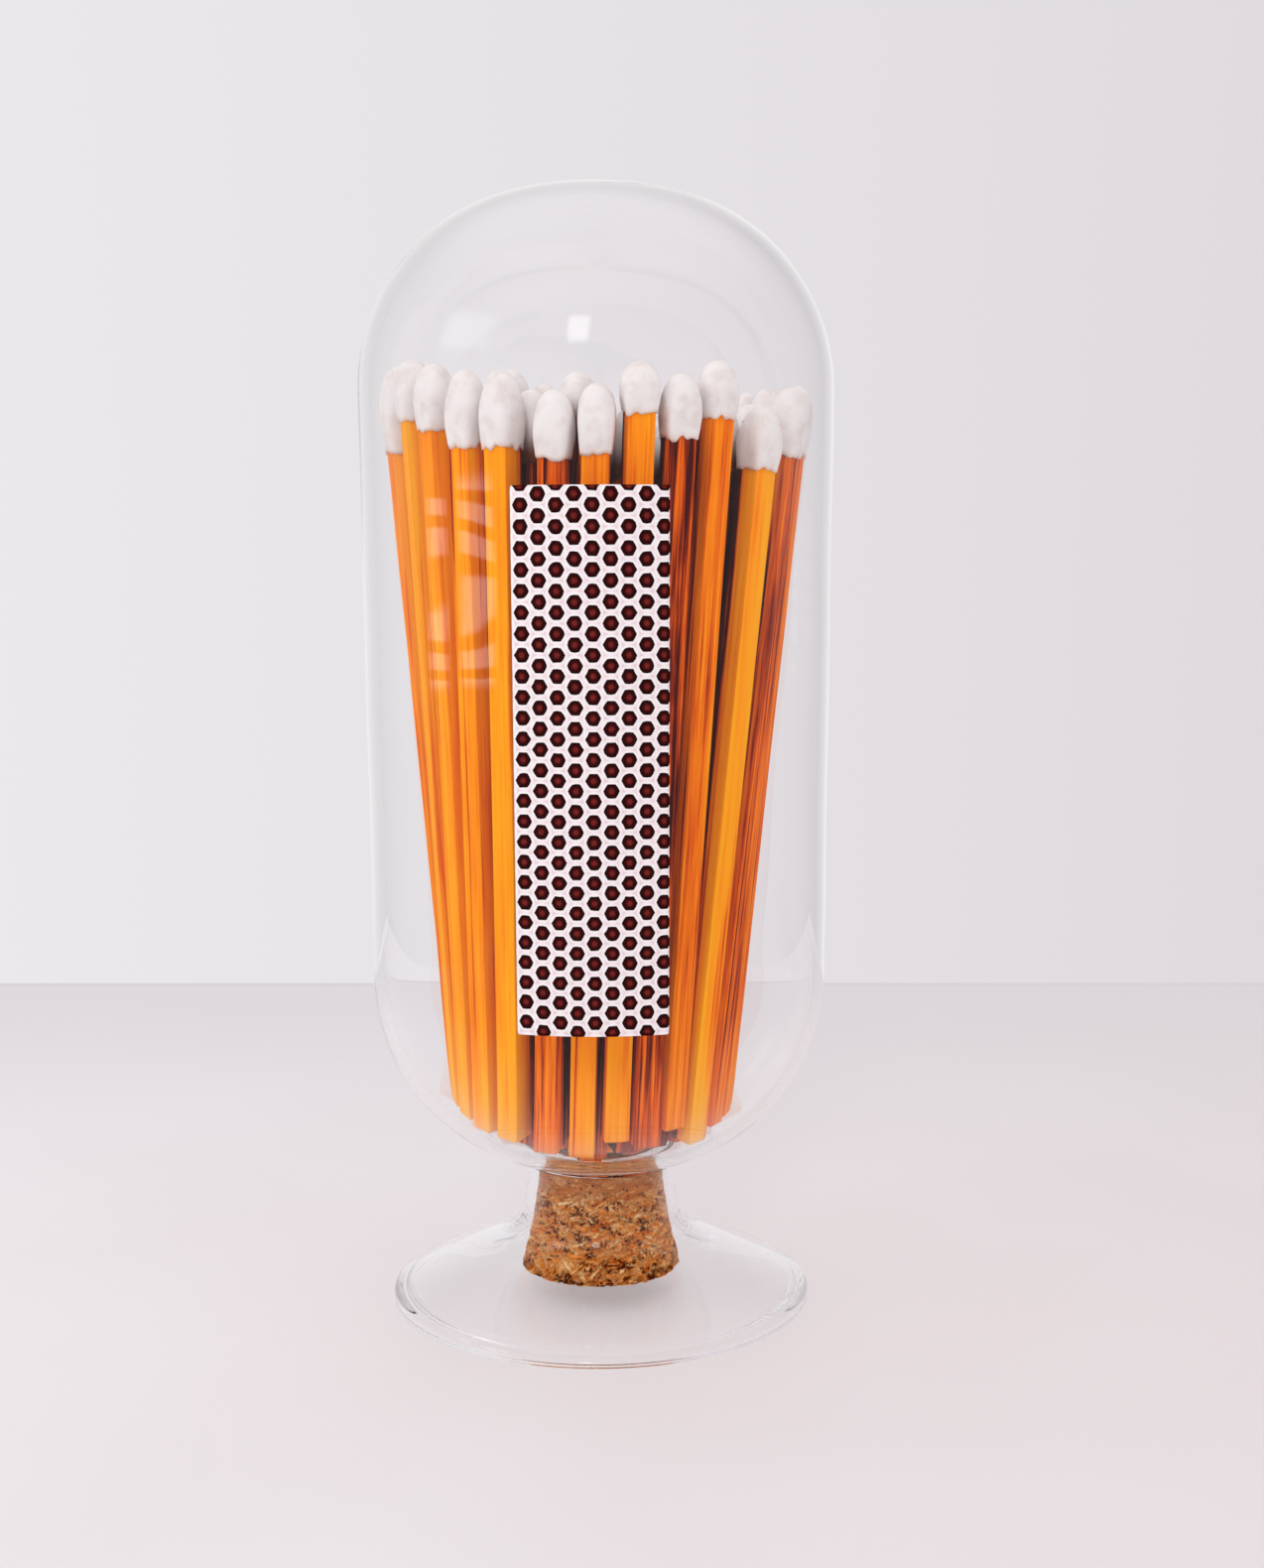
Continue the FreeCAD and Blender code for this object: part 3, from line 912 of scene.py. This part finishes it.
def headPiece(name, sticks, ring, chance, material, node):
    # A dipped head: from a ragged lower edge that hugs the square stick it swells to a round bulb
    # and closes in a dome. At each height the loop is |x|^p + |y|^p = w^p, p from 7 down to 2.
    h = headForm
    count = len(sticks["foot"])
    turn = np.arange(h["around"]) * tau / h["around"]
    share = np.concatenate([[0.0, 0.0], np.linspace(0, 1, 24)[1:-1] ** 0.9, [0.985, 0.997]])
    belly = h["widestShare"]
    risen = np.sin(np.clip(share / belly, 0, 1) * tau / 4) ** 1.2
    swell = h["neckWidth"] + (h["widest"] - h["neckWidth"]) * risen
    close = np.sqrt(np.clip(1 - (np.clip(share - belly, 0, 1) / (1 - belly)) ** 2.2, 0, 1))
    power = 7 - 5 * smoothStep(share, 0.15, 0.75)
    width = swell * close / 2
    cosine, sine = abs(np.cos(turn))[None], abs(np.sin(turn))[None]
    squareness = (cosine ** power[:, None] + sine ** power[:, None]) ** (-1 / power[:, None])
    size = (width[:, None] * squareness)[None] * (1 + chance.uniform(-0.025, 0.025, (count, 1, 1)))
    lump = sum(np.sin(k * turn[None, None] + share[None, :, None] * k * 2.3
                      + chance.uniform(0, tau, (count, 1, 1))) / k for k in h["lumpWaves"])
    lumpy = smoothStep(share, 0.1, 0.4) * close
    size = size + h["lumps"] * lump * lumpy[None, :, None]
    size[:, 0] = 0.9
    ragged = sum(chance.uniform(0.3, 1, (count, 1))
                 * np.sin(k * turn[None] + chance.uniform(0, tau, (count, 1)))
                 for k in h["edgeWaves"]) / 2
    dealt = (np.arange(count) + h["dealStep"] * (ring - 1)) % len(h["dips"])
    dip, tip = np.array(h["dips"])[dealt], np.array(h["tips"])[dealt]
    base = sticks["length"] + h["tipAboveStick"] - h["length"] - dip
    length = h["length"] + dip + tip
    rise = h["raggedness"] * ragged[:, None] * (1 - share[None, :, None]) ** 3
    z = base[:, None, None] + length[:, None, None] * share[None, :, None] + rise
    z[:, 0] += 0.4
    local = np.stack([size * np.cos(turn), size * np.sin(turn), z], axis=-1)
    marks = {"fromEdge": np.broadcast_to(share[None, :, None] * length[:, None, None], size.shape),
             "inner": np.full(size.shape, float(ring > 1))}
    piece = tubePiece(name, inStick(sticks, local), marks)
    dress(piece, material, "match_compound", node)


def matchWood():
    # split and dyed wood: slow bands, fine fibres and blotches, all drawn out along the stick
    f = stickFinish
    material, shader, place = newFinish("matchWood", 0.7, 0.03, {})
    grain = attributeIn(material, "grain", "Vector")
    # foot is painted light towards the feet, and tone holds the painted shade of the seams and
    # inner rings
    foot = 1 - place.part("Z").between(stickForm["footTo"], stickForm["footFrom"])
    tone = attributeIn(material, "tone", "Fac") + foot * stickForm["footLightTone"]
    broad = grain.stretched(f["broadStretch"]).noise(1.0, detail=2.0)
    fibre = grain.stretched(f["fibreStretch"]).noise(1.0, detail=3.0, roughness=0.65)
    crack = grain.stretched(f["crackStretch"]).noise(1.0, detail=1.0).between(0.64, 0.74)
    blotch = grain.stretched(f["blotchStretch"]).noise(1.0, detail=3.0, roughness=0.6)
    value = (tone + (broad - 0.5) * f["broadShare"] + (blotch - 0.5) * f["blotchShare"]
             + (fibre - 0.5) * (tone * f["fibreShare"] + f["leastFibre"]) + crack * f["crackShare"])
    plug(shader.inputs["Base Color"], value.limited().ramp(f["shades"]))
    plug(shader.inputs["Normal"], (fibre + broad * 0.5).relief(0.16, 0.7))
    return material


def matchCompound():
    f = headFinish
    material, shader, place = newFinish("matchCompound", 0.75, 0.3, {})
    fromEdge, inner = (attributeIn(material, key, "Fac") for key in ("fromEdge", "inner"))
    cloud = place.noise(0.5, detail=3.0)
    grit = place.noise(5.0, detail=3.0, roughness=0.6)
    base = cloud.between(0.4, 0.75).mix(f["body"], f["shade"])
    stain = ((1 - fromEdge.between(0.0, 0.9)) * 0.5 * grit.between(0.35, 0.65)).limited()
    # painted shade low down between the sticks, on the heads of the inner rings
    innerHeadShade = (inner * (1 - fromEdge.between(1.0, 5.0))).limited()
    plug(shader.inputs["Base Color"], innerHeadShade.mix(stain.mix(base, f["stain"]), f["inner"]))
    plug(shader.inputs["Normal"], grit.relief(0.1, 0.6))
    return material


def matches():
    s = stickForm
    chance = np.random.default_rng(s["seed"])
    headChance = np.random.default_rng(headForm["seed"])
    wood = matchWood()
    compound = matchCompound()
    outer = sorted(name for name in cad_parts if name.startswith("outer_stick_"))
    frames = [stickFrames(name) for name in outer]
    for k, sticks in enumerate(frames):
        more = chance.uniform(-s["toneSpread"], s["toneSpread"], 1)
        tone = s["tones"][k % len(s["tones"])] + more
        stickPiece("outerStick" + outer[k][-2:], sticks, tone, chance, wood, outer[k])
    together = {key: np.concatenate([sticks[key] for sticks in frames]) for key in frames[0]}
    headPiece("ring1Heads", together, 1, headChance, compound, "ring_1_heads")
    for name in sorted(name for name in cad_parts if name.endswith("_sticks")):
        ring = name.split("_")[1]
        sticks = stickFrames(name)
        # painted shade inside the bunch, with a random spread
        tone = s["innerShadeTone"] + chance.uniform(0, s["innerSpread"], len(sticks["foot"]))
        stickPiece("ring" + ring + "Sticks", sticks, tone, chance, wood, name)
        node = "ring_" + ring + "_heads"
        headPiece("ring" + ring + "Heads", sticks, int(ring), headChance, compound, node)


matches()
print("matches made")


# Floor, world, lamps and camera

stageForm = {
    "backEdge": 236.0,
    "halfWidth": 300.0,
    # painted light and shade: paler on the left, darker towards the back and in a soft line along
    # the back edge
    "left": colour(236, 233, 236),
    "right": colour(229, 221, 224),
    "far": colour(216, 212, 216),
    "backEdgeShade": colour(214, 208, 212),
    "seamWidth": 7.0,
    "slope": 0.004,  # from left to right, for each millimetre
    "cloudScale": 0.012,
    "farShare": 0.8,
    "ownLight": 0.42,  # part of the floor's brightness as seen, which softens the shadow on it
    "lit": 0.55,  # and the share of its colour that the lamps light for the camera
    "mirroredFar": 0.3,  # share of the floor well in front of the jar that its glass mirrors
    "mirroredFrom": 40.0,
    "mirroredTo": 110.0,
}
worldLight = {
    "backdropLeft": colour(236, 233, 236),
    "backdropRight": colour(222, 217, 221),
    "soft": 0.96,  # what matt surfaces receive from all round
    "softTint": (1.0, 0.985, 0.99),
    "front": 0.12,  # what glass mirrors from the camera's side
    "back": 0.95,  # and from behind the jar
    "above": 0.9,  # and from overhead, added to the rest
    "backFrom": 0.65,  # how far back and up the direction points, 1 at most
    "backTo": 0.99,
    "aboveFrom": 0.5,
    "aboveTo": 0.95,
    "across": 1.5,  # how quickly the backdrop changes from left to right
}
# azimuth is 0 towards the camera and grows to the right, angles as seen from the jar's middle
lampForm = {"tint": (0.96, 0.98, 1.0), "softness": 0.3, "bars": 0.0, "mirrored": True}
windowSpot = {"azimuth": -67.4, "elevation": 29.0, "width": 620.0, "height": 400.0}
ceilingSpot = {"azimuth": -7.4, "elevation": 32.0, "width": 215.0, "height": 330.0,
               "tint": (1.0, 0.98, 0.96)}
# each lamp is lampForm with its own values; the first two light the matt surfaces and the
# others are only mirrored
lamps = {
    "windowLight": {**windowSpot, "radiance": 3.0, "mirrored": False},
    "ceilingLight": {**ceilingSpot, "radiance": 12.0, "mirrored": False},
    "window": {**windowSpot, "radiance": 2.4, "tint": (0.86, 0.94, 1.0)},
    "windowFoot": {"azimuth": -57.5, "elevation": 1.0, "width": 360.0, "height": 130.0,
                   "radiance": 3.0, "softness": 0.12, "bars": 5.6},
    "windowSide": {"azimuth": -80.5, "elevation": 0.5, "width": 210.0, "height": 120.0,
                   "radiance": 2.6, "softness": 0.12, "bars": 5.0},
    "ceilingLamp": {**ceilingSpot, "radiance": 9.0, "softness": 0.35},
}
lampDistance = 1000.0
lampAim = 90.0  # height of the point that the lamps face
barEdges = (-0.7, 0.1)  # of a sine wave up the lamp: dark below, bright above
cameraForm = {
    "distance": 285.6,
    "height": 106.0,
    "around": 1.6,
    "pan": 0.96,
    "tilt": 11.76,
    "roll": -0.14,
    "focalPixels": 1982.0,
    "frameHeight": 1580.0,
    "axisRow": 1000.0,
    "sensor": 36.0,
}
# light goes to and fro inside the glass many times before it leaves
lightBounces = {"all": 32, "mirrored": 24, "through": 24}


def floorMaterial():
    # Paler on the left and darker towards the back, painted light and shade, a little uneven, and
    # darker in a soft line along its back edge, a painted shade. Its own light is for the camera
    # alone, and the glass mirrors the part in front of it dimmer.
    f = stageForm
    own = {"Emission Strength": f["ownLight"]}
    material, shader, place = newFinish("paleFloor", 0.55, 0.1, own)
    across, back = place.part("X"), place.part("Y")
    cloud = place.noise(f["cloudScale"], detail=2.0)
    base = (across * f["slope"] + cloud).limited().mix(f["left"], f["right"])
    far = back.between(0, f["backEdge"]) * f["farShare"]
    backEdgeShade = back.between(f["backEdge"] - f["seamWidth"], f["backEdge"])
    tone = backEdgeShade.mix(far.mix(base, f["far"]), f["backEdgeShade"])
    through = rayIs(material.node_tree, "Transmission")
    mirrored = (rayIs(material.node_tree, "Glossy") - through).limited()
    seen = (rayIs(material.node_tree, "Camera") + through).limited()
    dim = mirrored * (0 - back).between(f["mirroredFrom"], f["mirroredTo"])
    tone = tone.stretchedBy(1 - dim * (1 - f["mirroredFar"]))
    plug(shader.inputs["Base Color"], tone.stretchedBy(1 - seen * (1 - f["lit"])))
    plug(shader.inputs["Emission Color"], tone.stretchedBy(seen))
    return material


def paleFloor():
    s = stageForm
    x, y = s["halfWidth"] * mm, s["backEdge"] * mm
    mesh = bpy.data.meshes.new("paleFloor")
    mesh.from_pydata([(-x, -y, 0), (x, -y, 0), (x, y, 0), (-x, y, 0)], [], [(0, 1, 2, 3)])
    floor = bpy.data.objects.new("paleFloor", mesh)
    scene.collection.objects.link(floor)
    mesh.materials.append(floorMaterial())


def studioWorld():
    # Matt surfaces see one soft level. The camera and light that has gone through glass see the
    # backdrop, paler on the left. Mirrored light sees a dim front, a pale back and a bright top.
    w = worldLight
    world = bpy.data.worlds.new("studio")
    scene.world = world
    world.use_nodes = True
    tree = world.node_tree
    direction = Signal(tree.nodes.new("ShaderNodeTexCoord").outputs["Generated"])
    behind = direction.part("Y").between(w["backFrom"], w["backTo"]) * (w["back"] - w["front"])
    overhead = direction.part("Z").between(w["aboveFrom"], w["aboveTo"]) * w["above"]
    level = w["soft"] + rayIs(tree, "Glossy") * (behind + overhead + (w["front"] - w["soft"]))
    grey = level.node("CombineColor", {}, {k: level * w["softTint"][k] for k in range(3)})
    across = (direction.part("X") * w["across"] + 0.5).limited()
    backdrop = across.mix(w["backdropLeft"], w["backdropRight"])
    seen = (rayIs(tree, "Camera") + rayIs(tree, "Transmission")).limited()
    plug(tree.nodes["Background"].inputs["Color"], seen.mix(grey, backdrop))


def addLamp(name, form):
    turn, rise = math.radians(form["azimuth"]), math.radians(form["elevation"])
    level = math.cos(rise)
    away = Vector((math.sin(turn) * level, -math.cos(turn) * level, math.sin(rise)))
    data = bpy.data.lights.new(name, "AREA")
    data.shape = "RECTANGLE"
    data.size = form["width"] * mm
    data.size_y = form["height"] * mm
    data.color = form["tint"]
    data.energy = form["radiance"] * math.pi * data.size * data.size_y
    data.use_nodes = True
    tree = data.node_tree
    spot = Signal(tree.nodes.new("ShaderNodeNewGeometry").outputs["Parametric"])
    across, up = spot.part("X"), spot.part("Y")
    fade = 1.0
    for fromEdge in (across, 1 - across, up, 1 - up):
        fade = fromEdge.between(0.0, form["softness"]) * fade
    if form["bars"]:
        fade = fade * (up * (form["bars"] * tau)).by("SINE").between(*barEdges)
    plug(tree.nodes["Emission"].inputs["Strength"], fade)
    lamp = bpy.data.objects.new(name, data)
    lamp.location = Vector((0, 0, lampAim * mm)) + away * lampDistance * mm
    lamp.rotation_euler = away.to_track_quat("Z", "Y").to_euler()
    lamp.visible_camera = False
    lamp.visible_diffuse = not form["mirrored"]
    lamp.visible_glossy = form["mirrored"]
    scene.collection.objects.link(lamp)


def addCamera():
    c = cameraForm
    pan, tilt, roll, around = (math.radians(c[key]) for key in ("pan", "tilt", "roll", "around"))
    level = math.cos(tilt)
    ahead = Vector((math.sin(pan) * level, math.cos(pan) * level, -math.sin(tilt)))
    right = Vector((math.cos(pan), -math.sin(pan), 0))
    up = right.cross(ahead)
    rightRolled = right * math.cos(roll) + up * math.sin(roll)
    upRolled = up * math.cos(roll) - right * math.sin(roll)
    place = Vector((0, -c["distance"] * mm, c["height"] * mm))
    pose = Matrix((rightRolled, upRolled, -ahead)).transposed().to_4x4()
    pose.translation = place
    data = bpy.data.cameras.new("camera")
    data.sensor_width = c["sensor"]
    data.lens = c["focalPixels"] / c["frameHeight"] * data.sensor_width
    data.shift_y = (c["axisRow"] - c["frameHeight"] / 2) / c["frameHeight"]
    data.clip_start = 0.01
    camera = bpy.data.objects.new("camera", data)
    camera.matrix_world = Matrix.Rotation(around, 4, "Z") @ pose
    scene.collection.objects.link(camera)
    scene.camera = camera


paleFloor()
studioWorld()
for lampName, own in lamps.items():
    addLamp(lampName, {**lampForm, **own})
addCamera()
scene.view_settings.view_transform = "Standard"
scene.cycles.max_bounces = lightBounces["all"]
scene.cycles.glossy_bounces = lightBounces["mirrored"]
scene.cycles.transmission_bounces = lightBounces["through"]
print("stage made")

bpy.context.view_layer.update()
